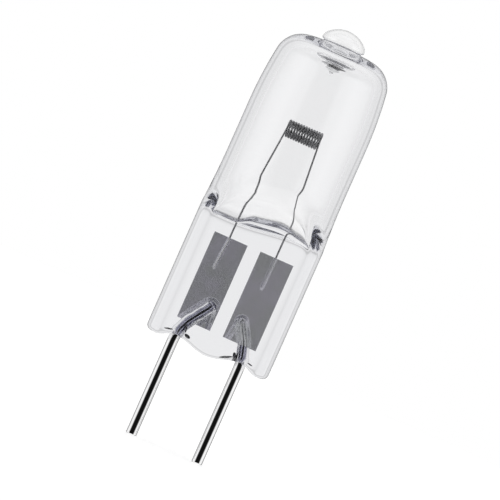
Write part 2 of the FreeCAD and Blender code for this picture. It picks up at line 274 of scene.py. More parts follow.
class ShaderTree:
    """A small helper that adds nodes to a material or world and links them."""

    def __init__(self, owner: bpy.types.Material | bpy.types.World) -> None:
        """Start an empty node tree on its owner."""
        owner.use_nodes = True
        self.tree = owner.node_tree
        self.tree.nodes.clear()

    def add(self, kind: str, inputs: dict | None = None, **settings: object) -> bpy.types.Node:
        """Add one node.

        Args:
            kind: The node's type, such as ShaderNodeMath.
            inputs: A value or an output socket for each named or numbered input.
            **settings: Values for the node's own properties.

        Returns:
            The new node.
        """
        node = self.tree.nodes.new(kind)
        for name, value in settings.items():
            setattr(node, name, value)
        for name, value in (inputs or {}).items():
            if isinstance(value, bpy.types.NodeSocket):
                self.tree.links.new(value, node.inputs[name])
            else:
                node.inputs[name].default_value = value
        return node

    def math(self, operation: str, first: object, second: object = 0.0,
             third: object = 0.0) -> bpy.types.NodeSocket:
        """The result of a Math node on up to three values or sockets."""
        operands = {0: first, 1: second, 2: third}
        return self.add("ShaderNodeMath", operands, operation=operation).outputs[0]

    def object_place(self) -> bpy.types.NodeSocket:
        """The place on the piece, in the piece's own coordinates."""
        return self.add("ShaderNodeTexCoord").outputs["Object"]

    def drawn_out(self, place: bpy.types.NodeSocket, height_scale: float) -> bpy.types.NodeSocket:
        """A place with its height scaled, which draws a pattern out along Z."""
        inputs = {"Vector": place, "Scale": (1.0, 1.0, height_scale)}
        return self.add("ShaderNodeMapping", inputs).outputs[0]

    def lumps(self, place: bpy.types.NodeSocket, size: float, detail: float,
              roughness: float = 0.5) -> bpy.types.NodeSocket:
        """Noise over a piece.

        Args:
            place: The place that the noise follows.
            size: The size of its lumps, in metres.
            detail: How many finer layers it has.
            roughness: How strong each finer layer is beside the one before it.

        Returns:
            The noise's value, which lies mostly within NOISE_SPAN.
        """
        inputs = {"Vector": place, "Scale": 1 / size, "Detail": detail, "Roughness": roughness}
        return self.add("ShaderNodeTexNoise", inputs).outputs[0]

    def spread(self, value: bpy.types.NodeSocket, span: Span,
               target: Span = (0.0, 1.0)) -> bpy.types.NodeSocket:
        """A value carried from one span over to another, and held at its ends."""
        inputs = {"Value": value, "From Min": span[0], "From Max": span[1],
                  "To Min": target[0], "To Max": target[1]}
        return self.add("ShaderNodeMapRange", inputs).outputs[0]

    def bump(self, height: bpy.types.NodeSocket, distance: float,
             strength: float = 1.0) -> bpy.types.NodeSocket:
        """The surface's direction, tilted by a relief of a stated height."""
        inputs = {"Height": height, "Distance": distance, "Strength": strength}
        return self.add("ShaderNodeBump", inputs).outputs[0]

    def ramp(self, factor: bpy.types.NodeSocket, stops: Stops) -> bpy.types.NodeSocket:
        """A ramp of greys.

        Args:
            factor: The socket that runs along the ramp.
            stops: Each stop's place from 0 to 1 and its grey level.

        Returns:
            The ramp's colour output.
        """
        node = self.add("ShaderNodeValToRGB", {0: factor})
        elements = node.color_ramp.elements
        while len(elements) < len(stops):
            elements.new(0.5)
        for element, (place, level) in zip(elements, stops):
            element.position = place
            element.color = (level, level, level, 1.0)
        return node.outputs["Color"]

    def mix(self, factor: object, first: object, second: object) -> bpy.types.NodeSocket:
        """A colour mixed from two by a factor.

        Args:
            factor: How much of the second colour there is, as a value or a socket.
            first: The first colour, or a socket.
            second: The second colour, or a socket.

        Returns:
            The mixed colour.
        """
        node = self.add("ShaderNodeMix", data_type="RGBA")
        for index, value in ((MIX_FACTOR, factor), (MIX_FIRST, first), (MIX_SECOND, second)):
            if isinstance(value, bpy.types.NodeSocket):
                self.tree.links.new(value, node.inputs[index])
            else:
                node.inputs[index].default_value = value if index == MIX_FACTOR else (*value, 1.0)
        return node.outputs[MIX_RESULT]


@dataclass(frozen=True)
class QuartzFinish:
    """Clear fused quartz with a faint grey depth and the soft ripple of hot-worked glass."""

    name: str = "quartz_glass"
    refraction: float = 1.458
    depth_colour: Colour = (0.872, 0.874, 0.89)
    density: float = 0.34 / MM
    ripple_size: float = 2.6 * MM
    ripple_height: float = 0.012 * MM
    ripple_draw: float = 0.45
    ripple_roughness: float = 0.4

    def build(self) -> bpy.types.Material:
        """Make the material.

        Returns:
            The material, with its pattern in the piece's own coordinates.
        """
        material = bpy.data.materials.new(self.name)
        nodes = ShaderTree(material)
        drawn_out = nodes.drawn_out(nodes.object_place(), self.ripple_draw)
        ripple = nodes.lumps(drawn_out, self.ripple_size, detail=1.0, roughness=self.ripple_roughness)
        shader = nodes.add("ShaderNodeBsdfPrincipled", {
            "Base Color": (*WHITE, 1.0), "Roughness": 0.0, "IOR": self.refraction,
            "Transmission Weight": 1.0, "Normal": nodes.bump(ripple, self.ripple_height)})
        depth = nodes.add("ShaderNodeVolumeAbsorption", {"Color": (*self.depth_colour, 1.0),
                                                         "Density": self.density})
        nodes.add("ShaderNodeOutputMaterial", {"Surface": shader.outputs[0], "Volume": depth.outputs[0]})
        return material


@dataclass(frozen=True)
class DrawnWireFinish:
    """Drawn metal wire: smooth across, with faint lengthwise die lines and a little tarnish.

    Between the two heights of `buried` it lies inside the glass and has a colour and dullness of its own
    there: a painted reflection, lighter or darker than the bare metal, that stands in for how the metal
    looks through the glass.
    """

    name: str
    colour: Colour
    tarnish: Colour
    roughness: float
    line_size: float
    buried: Span
    # Painted reflection inside the glass: a colour lighter or darker than the metal's own.
    buried_painted_reflection: Colour
    buried_dullness: float
    line_height: float = 0.0006 * MM
    line_draw: float = 0.04
    line_roughness: float = 0.6
    roughness_shares: Span = (0.7, 1.4)
    cloud_lines: float = 14.0
    cloud_span: Span = (0.45, 0.75)
    cloud_most: float = 0.55

    def build(self) -> bpy.types.Material:
        """Make the material.

        Returns:
            The material, with its pattern in the piece's own coordinates.
        """
        material = bpy.data.materials.new(self.name)
        nodes = ShaderTree(material)
        place = nodes.object_place()
        lengthwise = nodes.drawn_out(place, self.line_draw)
        lines = nodes.lumps(lengthwise, self.line_size, detail=3.0, roughness=self.line_roughness)
        clouds = nodes.lumps(place, self.cloud_lines * self.line_size, detail=2.0)
        amount = nodes.spread(clouds, self.cloud_span, (0.0, self.cloud_most))
        colour = nodes.mix(amount, self.colour, self.tarnish)
        height = nodes.add("ShaderNodeSeparateXYZ", {0: place}).outputs["Z"]
        above = nodes.math("GREATER_THAN", height, self.buried[0])
        below = nodes.math("LESS_THAN", height, self.buried[1])
        inside = nodes.math("MULTIPLY", above, below)
        # Inside the glass the colour is a painted reflection: near white on the filament, dark blue grey
        # on the pins. The dullness lets the filament's painted white show as a pale streak.
        colour = nodes.mix(inside, colour, self.buried_painted_reflection)
        low, high = self.roughness_shares
        rough = nodes.spread(lines, NOISE_SPAN, (self.roughness * low, self.roughness * high))
        shine = nodes.math("SUBTRACT", 1.0, nodes.math("MULTIPLY", inside, self.buried_dullness))
        shader = nodes.add("ShaderNodeBsdfPrincipled", {
            "Base Color": colour, "Metallic": shine, "Roughness": rough,
            "Normal": nodes.bump(lines, self.line_height)})
        nodes.add("ShaderNodeOutputMaterial", {"Surface": shader.outputs[0]})
        return material


@dataclass(frozen=True)
class FoilFinish:
    """Etched molybdenum foil: matte violet grey, with fine grain, clouding and rolling lines."""

    name: str = "molybdenum_foil"
    colour: Colour = (0.63, 0.62, 0.68)
    cloud: Colour = (0.56, 0.57, 0.58)
    metallic: float = 0.8
    roughness: float = 0.2
    roughness_shares: Span = (0.85, 1.2)
    grain_size: float = 0.06 * MM
    grain_draw: float = 0.06
    grain_height: float = 0.004 * MM
    grain_strength: float = 0.6
    cloud_size: float = 2.2 * MM
    cloud_roughness: float = 0.55
    cloud_span: Span = (0.38, 0.62)

    def build(self) -> bpy.types.Material:
        """Make the material.

        Returns:
            The material, with its pattern in the piece's own coordinates.
        """
        material = bpy.data.materials.new(self.name)
        nodes = ShaderTree(material)
        place = nodes.object_place()
        clouds = nodes.lumps(place, self.cloud_size, detail=3.0, roughness=self.cloud_roughness)
        grain = nodes.lumps(nodes.drawn_out(place, self.grain_draw), self.grain_size, detail=2.0)
        colour = nodes.mix(nodes.spread(clouds, self.cloud_span), self.colour, self.cloud)
        low, high = self.roughness_shares
        rough = nodes.spread(clouds, NOISE_SPAN, (self.roughness * low, self.roughness * high))
        shader = nodes.add("ShaderNodeBsdfPrincipled", {
            "Base Color": colour, "Metallic": self.metallic, "Roughness": rough,
            "Normal": nodes.bump(grain, self.grain_height, self.grain_strength)})
        nodes.add("ShaderNodeOutputMaterial", {"Surface": shader.outputs[0]})
        return material


@dataclass
class Dome:
    """The dome over the tube and the sealed tip on its crown, as the outline of one side."""

    tube_radius: float = TUBE_RADIUS
    side_radius: float = 38.0 * MM
    side_length: float = 5.3 * MM
    side_foot: float = 31.29 * MM
    corner_x: float = 2.84 * MM
    neck_x: float = 1.9 * MM
    crown_rise: float = 0.1 * MM
    tip_radius: float = 2.0 * MM
    tip_height: float = 1.3 * MM
    tip_corner: float = 0.8 * MM
    neck_round: float = 0.1 * MM
    bubble_wall: float = 0.26 * MM
    bubble_floor: float = 0.2 * MM
    bubble_edge: float = 0.2 * MM

    def corner(self) -> tuple[float, float, float]:
        """Where the dome's round corner stands.

        Returns:
            How far out its centre is, how high its centre is, and its own radius.
        """
        lean = math.asin(self.side_length / self.side_radius)
        own = self.side_radius - (self.corner_x + self.side_radius - self.tube_radius) / math.cos(lean)
        return self.corner_x, self.side_foot + (self.side_radius - own) * math.sin(lean), own

    def top(self) -> float:
        """Height of the dome's crown where the tip stands on it."""
        _, corner_z, own = self.corner()
        return corner_z + own + self.crown_rise

    def draw(self, outline: Outline, wall: float) -> None:
        """Draw the dome from the tube to its crown.

        Args:
            outline: The outline, which ends at the top of the tube.
            wall: Depth below the outer surface.
        """
        lean = math.degrees(math.asin(self.side_length / self.side_radius))
        centre = (self.tube_radius - self.side_radius, self.side_foot)
        outline.arc(centre, self.side_radius - wall, 0.0, lean, steps=14)
        corner_x, corner_z, own = self.corner()
        crown_x, crown_z, crown_own = self.crown(corner_x, corner_z, own)
        turn = math.degrees(math.atan2(corner_z - crown_z, corner_x - crown_x))
        outline.arc((corner_x, corner_z), own - wall, lean, turn, steps=22)
        outline.arc((crown_x, crown_z), crown_own - wall, turn, 90.0, steps=5)

    def crown(self, corner_x: float, corner_z: float, own: float) -> tuple[float, float, float]:
        """The flat arc of the crown, which is level where it meets the tip's neck.

        Args:
            corner_x: How far out the centre of the dome's round corner is.
            corner_z: How high that centre is.
            own: The corner's own radius.

        Returns:
            How far out the arc's centre is, how high its centre is, and its own radius.
        """
        reach = corner_x - self.neck_x
        rise = self.top() - corner_z - own
        radius = (reach ** 2 + (self.top() - corner_z) ** 2 - own ** 2) / (2 * rise)
        return self.neck_x, self.top() - radius, radius

    def tip_foot(self) -> float:
        """Height that the tip's side rises from, over the groove and the tip's rounded lower edge."""
        return self.top() + 3 * self.neck_round

    def tip_arcs(self) -> tuple[float, float, float]:
        """How the tip's round corner runs on into the arc over its top.

        Returns:
            How far out the corner's centre stands, the radius of the arc over the top, and the angle at
            which the two meet, in degrees.
        """
        rise = self.tip_height - self.tip_corner
        reach = self.tip_radius - self.tip_corner
        over = (reach ** 2 + self.tip_height ** 2 - self.tip_corner ** 2) / (2 * rise)
        return reach, over, math.degrees(math.atan2(over - self.tip_height, reach))

    def draw_tip(self, outline: Outline) -> None:
        """Draw the sealed tip, from the dome's crown up to its own top.

        Args:
            outline: The outline, which ends at the dome's crown.
        """
        groove = self.neck_round
        groove_centre = (self.neck_x, self.top() + groove)
        foot_z = self.tip_foot()
        reach, over, turn = self.tip_arcs()
        outline.arc(groove_centre, groove, -90.0, -180.0, steps=3)
        outline.arc(groove_centre, groove, 180.0, 90.0, steps=3)
        outline.arc((self.neck_x, foot_z), groove, -90.0, 0.0, steps=3)
        outline.arc((reach, foot_z), self.tip_corner, 0.0, turn, steps=10)
        outline.arc((0.0, foot_z + self.tip_height - over), over, turn, 90.0, steps=14)

    def draw_bubble(self) -> Outline:
        """Draw the small closed bubble that the sealing left inside the tip.

        Returns:
            The bubble's outline, from the middle of its flat floor to its top.
        """
        foot_z = self.tip_foot()
        reach, over, turn = self.tip_arcs()
        floor_z = foot_z - self.bubble_floor
        edge_x = self.tip_radius - self.bubble_wall - self.bubble_edge
        outline = Outline(0.0, floor_z)
        outline.line(edge_x, floor_z, steps=14)
        outline.arc((edge_x, floor_z + self.bubble_edge), self.bubble_edge, -90.0, 0.0, steps=5)
        outline.arc((reach, foot_z), self.tip_corner - self.bubble_wall, 0.0, turn, steps=8)
        outline.arc((0.0, foot_z + self.tip_height - over), over - self.bubble_wall, turn, 90.0, steps=12)
        return outline


@dataclass
class Pinch:
    """The pressed foot of the envelope: jaw faces, panels, shoulders and the wavy lower edge."""

    radius: float = 5.84 * MM
    foot: float = PINCH_FOOT
    top: float = PINCH_TOP
    half_thickness: float = 1.95 * MM
    edge_blend: float = 1.3 * MM
    shoulder_angle: float = math.radians(50.0)
    shoulder_blend: float = 1.1 * MM
    panel_depth: float = 0.4 * MM
    panel_half_width: float = 4.95 * MM
    panel_slope: float = 0.9 * MM
    lift_end: float = 12.65 * MM
    panel_high: float = 22.2 * MM
    crest_rise: float = 0.65 * MM
    crest_run: tuple[float, float, float] = (-2.6 * MM, 3.6 * MM, 6.4 * MM)
    foot_round: float = 0.55 * MM
    pin_x: float = PIN_X
    pin_rise: float = 0.65 * MM
    lobe_x: float = 4.84 * MM
    lobe_rise: float = 0.1 * MM

    def wave(self, x: np.ndarray) -> np.ndarray:
        """How far the lower edge stands above its lowest point.

        Args:
            x: Places across the pinch.

        Returns:
            The rise of the edge at each place.
        """
        away = np.abs(x)
        inner = 0.5 - 0.5 * np.cos(math.pi * np.clip(away / self.pin_x, 0.0, 1.0))
        outer = smooth_step(away, self.pin_x, self.lobe_x)
        return self.pin_rise * inner + (self.lobe_rise - self.pin_rise) * outer

    def thickness_at(self, x: np.ndarray, z: np.ndarray) -> np.ndarray:
        """Half the distance between the jaws, panels and shoulders taken in.

        Args:
            x: Places across the pinch.
            z: Heights.

        Returns:
            Half the thickness that the jaws leave at each place.
        """
        across = 1.0 - smooth_step(np.abs(x), self.panel_half_width - self.panel_slope,
                                   self.panel_half_width + self.panel_slope)
        up = 1.0 - smooth_step(z, self.panel_high - self.panel_slope, self.panel_high + self.panel_slope)
        flat = self.half_thickness - self.panel_depth * across * up
        slope = self.half_thickness + (z - self.shoulder_at(x)) * math.tan(self.shoulder_angle)
        return rounded_max(flat, slope, self.shoulder_blend)

    def shoulder_at(self, x: np.ndarray) -> np.ndarray:
        """Height at which the flat pinch starts to slope out, highest right of the middle.

        Args:
            x: Places across the pinch.

        Returns:
            The height at each place.
        """
        low, crest, high = self.crest_run
        return self.top + self.crest_rise * (smooth_step(x, low, crest) - smooth_step(x, crest, high))

    def press(self, form: bpy.types.Object) -> None:
        """Press a turned form between the jaws and draw its lower edge to the wave.

        Args:
            form: The turned glass, round all the way down to a level foot.
        """
        places = read_points(form)
        x, y, z = places.T
        rim = self.foot + self.foot_round
        sideways = np.hypot(x, y)
        inset = np.where(z < rim, self.radius - sideways, 0.0)
        inset = np.clip(inset, 0.0, None)
        jaws = self.thickness_at(x, z)
        under = inset > self.foot_round
        under_share = sideways / (self.radius - self.foot_round)
        limit = np.where(under, (jaws - self.foot_round) * under_share, jaws - inset)
        blend = np.where(under, self.edge_blend * under_share, self.edge_blend)
        pressed = np.sign(y) * rounded_min(np.abs(y), np.maximum(limit, 0.0), np.maximum(blend, SPECK))
        pressed = np.where(np.abs(y) < SPECK, 0.0, pressed)
        pressed = np.sign(y) * np.clip(np.abs(pressed), 0.0, np.abs(y))
        low_share = 1.0 - np.clip((z - rim) / (self.lift_end - rim), 0.0, 1.0)
        lifted = z + self.wave(x) * low_share
        write_points(form, np.column_stack([x, pressed, lifted]))


@dataclass
class GasSpace:
    """The sealed hollow: tube bore, dome, the drip under the tip and the pinched bottom."""

    bore: float = TUBE_RADIUS - TUBE_WALL
    wall: float = TUBE_WALL
    root: float = 20.9 * MM
    bottom: float = PINCH_TOP
    bottom_angle: float = math.radians(51.8)
    bottom_reach: float = 7.0 * MM
    bottom_blend: float = 0.08 * MM
    web_blend: float = 0.7 * MM
    below_shoulder: float = 0.35 * MM
    web_height: float = 0.58 * MM
    web_left: Span = (-2.6 * MM, -0.9 * MM)
    web_right: Span = (1.0 * MM, 4.2 * MM)
    edge_blend: float = 1.3 * MM
    edge_share: float = 0.8
    drip_radius: float = 1.35 * MM
    drip_length: float = 1.55 * MM
    drip_root_share: float = 1.18
    drip_taper: float = 0.75
    drip_rings: float = 3.0
    drip_ripple: float = 0.24
    drip_phase: float = 0.6
    drip_steps: int = 40

    def draw(self, dome: Dome) -> Outline:
        """Draw the hollow's outline, from the middle of its bottom to the end of the drip.

        Args:
            dome: The dome whose inner side the hollow follows.

        Returns:
            The finished outline.
        """
        outline = Outline(0.0, self.bottom)
        outline.line(self.bore, self.bottom, steps=40)
        outline.line(self.bore, dome.side_foot, steps=60)
        dome.draw(outline, self.wall)
        crown_z = outline.points[-1][1]
        outline.line(self.drip_radius * self.drip_root_share, crown_z, steps=2)
        self.draw_drip(outline, crown_z)
        return outline

    def draw_drip(self, outline: Outline, crown_z: float) -> None:
        """Draw the drip of glass that was drawn in when the tip was sealed, with its rings.

        Args:
            outline: The outline, which ends just outside the drip's root.
            crown_z: Height of the hollow's crown.
        """
        for step in range(1, self.drip_steps):
            share = step / self.drip_steps
            taper = (1.0 - share) ** self.drip_taper
            ring = 1.0 + self.drip_ripple * math.sin(TURN * self.drip_rings * share + self.drip_phase)
            outline.points.append((self.drip_radius * taper * ring, crown_z - self.drip_length * share))
        outline.points.append((0.0, crown_z - self.drip_length))

    def press(self, form: bpy.types.Object, pinch: Pinch) -> None:
        """Close the hollow's bottom between its sloping walls, with a web of glass in its middle.

        Args:
            form: The turned hollow, with a level bottom.
            pinch: The pinch whose shoulders the bottom follows.
        """
        places = read_points(form)
        x, y, z = places.T
        away = np.abs(y)
        slope = 1.0 / math.tan(self.bottom_angle)
        side = np.sqrt(np.clip(self.bore ** 2 - x ** 2, 0.0, None))
        web = self.web_at(x)
        floor = pinch.shoulder_at(x) - self.below_shoulder + self.web_height * web - self.root
        walls = rounded_max(away * slope, floor, self.bottom_blend + self.web_blend * web)
        share = 1.0 - np.clip((z - self.bottom) / self.bottom_reach, 0.0, 1.0)
        lifted = z + (self.root + walls - self.bottom) * share
        gap = np.abs(side - (lifted - self.root) / slope)
        blend = np.minimum(self.edge_blend, self.edge_share * side) + SPECK
        near = np.clip(blend - gap, 0.0, None) / blend
        taken_in = near * near * blend / 4.0 * away / np.maximum(side, SPECK)
        pressed = np.sign(y) * np.clip(away - taken_in, 0.0, None)
        write_points(form, np.column_stack([x, pressed, lifted]))

    def web_at(self, x: np.ndarray) -> np.ndarray:
        """How far the web of glass on the hollow's floor has risen to its full height.

        Args:
            x: Places across the bulb.

        Returns:
            A share between 0 and 1 at each place.
        """
        return smooth_step(x, *self.web_left) - smooth_step(x, *self.web_right)


@dataclass
class PinChannel:
    """The hair of space that the quartz leaves round a buried pin, and the funnel at its mouth."""

    side: Side
    pin_x: float = PIN_X
    start: float = PINCH_FOOT
    end: float = 13.45 * MM
    bend_radius: float = 4.3 * MM
    bend_angle: float = math.radians(34.0)
    run_in: float = 0.9 * MM
    cap_height: float = 0.1 * MM
    clearance: float = 0.09 * MM
    pin_radius: float = 0.5 * MM
    hub_share: float = 0.2
    columns: int = 40
    rings: int = 46
    mouth_height: float = 9.6 * MM
    mouth_length: float = 0.75 * MM
    mouth_clearance: float = 0.2 * MM
    unevenness: float = 0.7
    lump_size: float = 0.8 * MM
    lump_seed: float = 3.0
    end_share: float = 0.07
    end_taper: float = 0.45

    def centre_line(self, steps: int) -> list[tuple[Vector, Vector]]:
        """Points along the pin's centre line inside the glass, each with the line's direction.

        Args:
            steps: How many steps the line is cut into.

        Returns:
            Pairs of a place and a direction, from below the glass to past the pin's end.
        """
        sign = self.side.value
        bend_length = self.bend_radius * self.bend_angle
        bend_top = self.start + self.bend_radius * math.sin(self.bend_angle)
        straight = (self.end - bend_top) / math.cos(self.bend_angle)
        total = self.run_in + bend_length + straight
        found = []
        for step in range(steps + 1):
            run = total * step / steps - self.run_in
            bent = min(max(run, 0.0), bend_length)
            angle = bent / self.bend_radius
            along = Vector((-sign * math.sin(angle), 0.0, math.cos(angle)))
            inward = self.bend_radius * (1.0 - math.cos(angle))
            upward = self.bend_radius * math.sin(angle)
            place = Vector((sign * (self.pin_x - inward), 0.0, self.start + upward))
            found.append((place + along * (run - bent), along))
        return found

    def build(self) -> bpy.types.Object:
        """Model the space as one closed tube with a domed end.

        Returns:
            The tube, which is later cut out of the glass.
        """
        line = self.centre_line(self.rings)
        clear_selection()
        bpy.ops.mesh.primitive_circle_add(vertices=self.columns, radius=self.pin_radius,
                                          fill_type="TRIFAN", location=line[0][0])
        tube = bpy.context.object
        tube.name = f"pin_channel_{self.side.label}"
        moves = [place - before for (before, _), (place, _) in zip(line, line[1:])]
        with editing():
            bpy.ops.mesh.region_to_loop()
            for move in [*moves, (0.0, 0.0, self.cap_height)]:
                bpy.ops.mesh.extrude_edges_move(TRANSFORM_OT_translate={"value": move})
            bpy.ops.mesh.merge(type="CENTER")
            bpy.ops.mesh.select_all(action="SELECT")
            bpy.ops.mesh.normals_make_consistent(inside=False)
        bpy.ops.object.transform_apply(location=True, rotation=True, scale=True)
        self.shape(tube, line)
        return tube

    def shape(self, tube: bpy.types.Object, line: list[tuple[Vector, Vector]]) -> None:
        """Turn each ring square to the line and give it its uneven clearance.

        Args:
            tube: The tube, with all its rings still level.
            line: The centre line that it was drawn along.
        """
        places = read_points(tube)
        heights = np.array([place.z for place, _ in line])
        ring_of = np.clip(np.searchsorted(heights, places[:, 2] - RING_SLACK), 0, len(line) - 1)
        wobble = noise_at(places, self.lump_size, self.lump_seed + self.side.value)
        for index, ring in enumerate(ring_of):
            centre, along = line[ring]
            offset = Vector(places[index]) - centre
            if offset.length < self.hub_share * self.pin_radius:
                continue
            share = ring / (len(line) - 1)
            across = Vector((along.z, 0.0, -along.x))
            past = max(0.0, (share - 1.0) / self.end_share + 1.0)
            narrow = 1.0 - self.end_taper * (1.0 - math.sqrt(max(0.0, 1.0 - past ** 2)))
            near_mouth = max(0.0, 1.0 - abs(centre.z - self.mouth_height) / self.mouth_length)
            room = self.clearance + self.mouth_clearance * near_mouth
            own = (self.pin_radius + room * (1.0 + self.unevenness * wobble[index])) * narrow
            outward = (across * offset.x + Vector((0.0, offset.y, 0.0))) / self.pin_radius
            places[index] = centre + outward * own
        write_points(tube, places)


CHANNELS = {
    Side.LEFT: PinChannel(Side.LEFT),
    Side.RIGHT: PinChannel(Side.RIGHT, bend_radius=5.8 * MM, bend_angle=math.radians(30.0)),
}


@dataclass(frozen=True)
class PocketShadeFinish:
    """Painted shade for small pockets in the glass: near black, with a few paler flecks, where the glass
    shows black.
    """

    name: str = "painted_pocket_shade"
    colour: Colour = (0.03, 0.03, 0.035)
    fleck: Colour = (0.3, 0.3, 0.32)
    fleck_size: float = 0.16 * MM
    fleck_span: Span = (0.5, 0.62)
    roughness: float = 0.35

    def build(self) -> bpy.types.Material:
        """Make the material.

        Returns:
            The material, with its pattern in the piece's own coordinates.
        """
        material = bpy.data.materials.new(self.name)
        nodes = ShaderTree(material)
        flecks = nodes.lumps(nodes.object_place(), self.fleck_size, detail=2.0)
        colour = nodes.mix(nodes.spread(flecks, self.fleck_span), self.colour, self.fleck)
        shader = nodes.add("ShaderNodeBsdfPrincipled", {"Base Color": colour, "Roughness": self.roughness})
        nodes.add("ShaderNodeOutputMaterial", {"Surface": shader.outputs[0]})
        return material


@dataclass(frozen=True)
class Pocket:
    """A small near-black ball in the quartz, where a pin leaves it or in the tip's drip: painted shade
    where the glass shows black.

    Its middle and half sizes are in millimetres, and its lean about Y is in degrees.
    """

    middle: tuple[float, float, float]
    half_size: tuple[float, float, float]
    lean: float

    def build(self, finish: bpy.types.Material) -> bpy.types.Object:
        """Model the pocket as a small stretched ball.

        Args:
            finish: The near-black painted shade that covers it.

        Returns:
            The ball, with its faces pointing outwards.
        """
        clear_selection()
        bpy.ops.mesh.primitive_uv_sphere_add(segments=24, ring_count=14, radius=1.0,
                                             location=[along * MM for along in self.middle],
                                             rotation=(0.0, -math.radians(self.lean), 0.0),
                                             scale=[half * MM for half in self.half_size])
        ball = bpy.context.object
        bpy.ops.object.transform_apply(location=True, rotation=True, scale=True)
        ball.data.materials.append(finish)
        return ball


# Near-black balls of painted shade where the glass shows black: by the pins' exits and in the tip's drip.
EXIT_POCKETS = (
    Pocket((-2.12, -1.15, 10.0), (0.3, 0.2, 0.13), -18.0),
    Pocket((-2.5, -0.6, 10.55), (0.09, 0.2, 0.36), 14.0),
    Pocket((-3.95, -1.1, 9.95), (0.42, 0.2, 0.06), 16.0),
    Pocket((2.35, -0.4, 10.15), (0.15, 0.3, 0.24), 30.0),
    Pocket((1.7, -1.15, 9.74), (0.6, 0.2, 0.08), 24.0),
    Pocket((3.95, -1.1, 9.96), (0.26, 0.16, 0.05), -14.0),
)
DRIP_POCKETS = (
    Pocket((0.18, -0.25, 37.46), (0.72, 0.4, 0.1), 2.0),
    Pocket((0.05, -0.05, 37.02), (0.42, 0.28, 0.06), 3.0),
)


@dataclass
class Envelope:
    """The clear quartz envelope: outer glass, gas space and the spaces round the buried pins."""

    dome: Dome = field(default_factory=Dome)
    pinch: Pinch = field(default_factory=Pinch)
    gas: GasSpace = field(default_factory=GasSpace)
    finish: QuartzFinish = field(default_factory=QuartzFinish)
    pocket_shade: PocketShadeFinish = field(default_factory=PocketShadeFinish)
    columns: int = 192
    bore_columns: int = 144
    bubble_columns: int = 96
    flare_top: float = 26.99 * MM

    def outer(self) -> bpy.types.Object:
        """Turn the outer glass and press its foot.

        Returns:
            The outer form, closed and solid.
        """
        pinch = self.pinch
        inner_edge = pinch.radius - pinch.foot_round
        outline = Outline(0.0, pinch.foot)
        outline.line(inner_edge, pinch.foot, steps=30)
        outline.arc((inner_edge, pinch.foot + pinch.foot_round), pinch.foot_round, -90.0, 0.0, steps=7)
        outline.line(pinch.radius, pinch.top, steps=56)
        spread = pinch.radius - self.dome.tube_radius
        run = self.flare_top - pinch.top
        flare_radius = (run ** 2 + spread ** 2) / (2 * spread)
        lean = math.degrees(math.asin(run / flare_radius))
        flare_centre = (self.dome.tube_radius + flare_radius, self.flare_top)
        outline.arc(flare_centre, flare_radius, 180.0 + lean, 180.0, steps=30)
        outline.line(self.dome.tube_radius, self.dome.side_foot, steps=8)
        self.dome.draw(outline, 0.0)
        self.dome.draw_tip(outline)
        form = outline.spin("quartz_glass", self.columns)
        pinch.press(form)
        return form

    def hollow(self, quartz: bpy.types.Material) -> bpy.types.Object:
        """Turn the gas space and pinch its bottom, with its faces pointing into the space.

        Args:
            quartz: The glass that the hollows' walls show.

        Returns:
            The inner surface of the glass.
        """
        form = self.gas.draw(self.dome).spin("gas_space", self.bore_columns)
        self.gas.press(form, self.pinch)
        bubble = self.dome.draw_bubble().spin("tip_bubble", self.bubble_columns)
        for wall in (form, bubble):
            wall.data.materials.append(quartz)
        pocket_shade = self.pocket_shade.build()
        closed_in = [bubble] + [pocket.build(pocket_shade) for pocket in EXIT_POCKETS + DRIP_POCKETS]
        make_active(form)
        for small in closed_in:
            small.select_set(True)
        bpy.ops.object.join()
        make_active(form)
        with editing():
            bpy.ops.mesh.flip_normals()
        return form

    def build(self) -> bpy.types.Object:
        """Build the whole envelope and dress it.

        Returns:
            The glass, riding on the bulb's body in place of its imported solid.
        """
        quartz = self.finish.build()
        glass = self.outer()
        glass.data.materials.append(quartz)
        for side in Side:
            channel = CHANNELS[side].build()
            cut = glass.modifiers.new(channel.name, "BOOLEAN")
            cut.operation = "DIFFERENCE"
            cut.solver = "EXACT"
            cut.object = channel
            make_active(glass)
            bpy.ops.object.modifier_apply(modifier=cut.name)
            bpy.data.objects.remove(channel)
        hollow = self.hollow(quartz)
        make_active(glass)
        hollow.select_set(True)
        bpy.ops.object.join()
        make_active(glass)
        bpy.ops.object.shade_smooth()
        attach(glass, BODY)
        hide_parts("quartz_envelope")
        LOG.info("%s: %d faces", glass.name, len(glass.data.polygons))
        return glass


@dataclass(frozen=True)
class LegWeld:
    """Where a filament leg runs down its foil, and the height over which it is welded."""

    top_x: float
    slant: float
    low: float = FOIL_TOP - 3.0 * MM
    high: float = FOIL_TOP


LEG_WELDS = {
    Side.LEFT: LegWeld(top_x=-2.244 * MM, slant=-0.073),
    Side.RIGHT: LegWeld(top_x=2.212 * MM, slant=-0.02),
}
RIDGE_AWAY = {Side.LEFT: 0.58 * MM, Side.RIGHT: 0.3 * MM}


@dataclass(frozen=True)
class Wrinkle:
    """One layer of a foil's wrinkles: their size, how far Z is scaled, a seed and their height."""

    size: float
    draw: float
    seed: float
    height: float

    def over(self, places: np.ndarray, side: Side) -> np.ndarray:
        """The layer's height at each place of one side's foil."""
        flat = places * np.array([1.0, 0.0, self.draw])
        return self.height * noise_at(flat, self.size, self.seed * side.value)


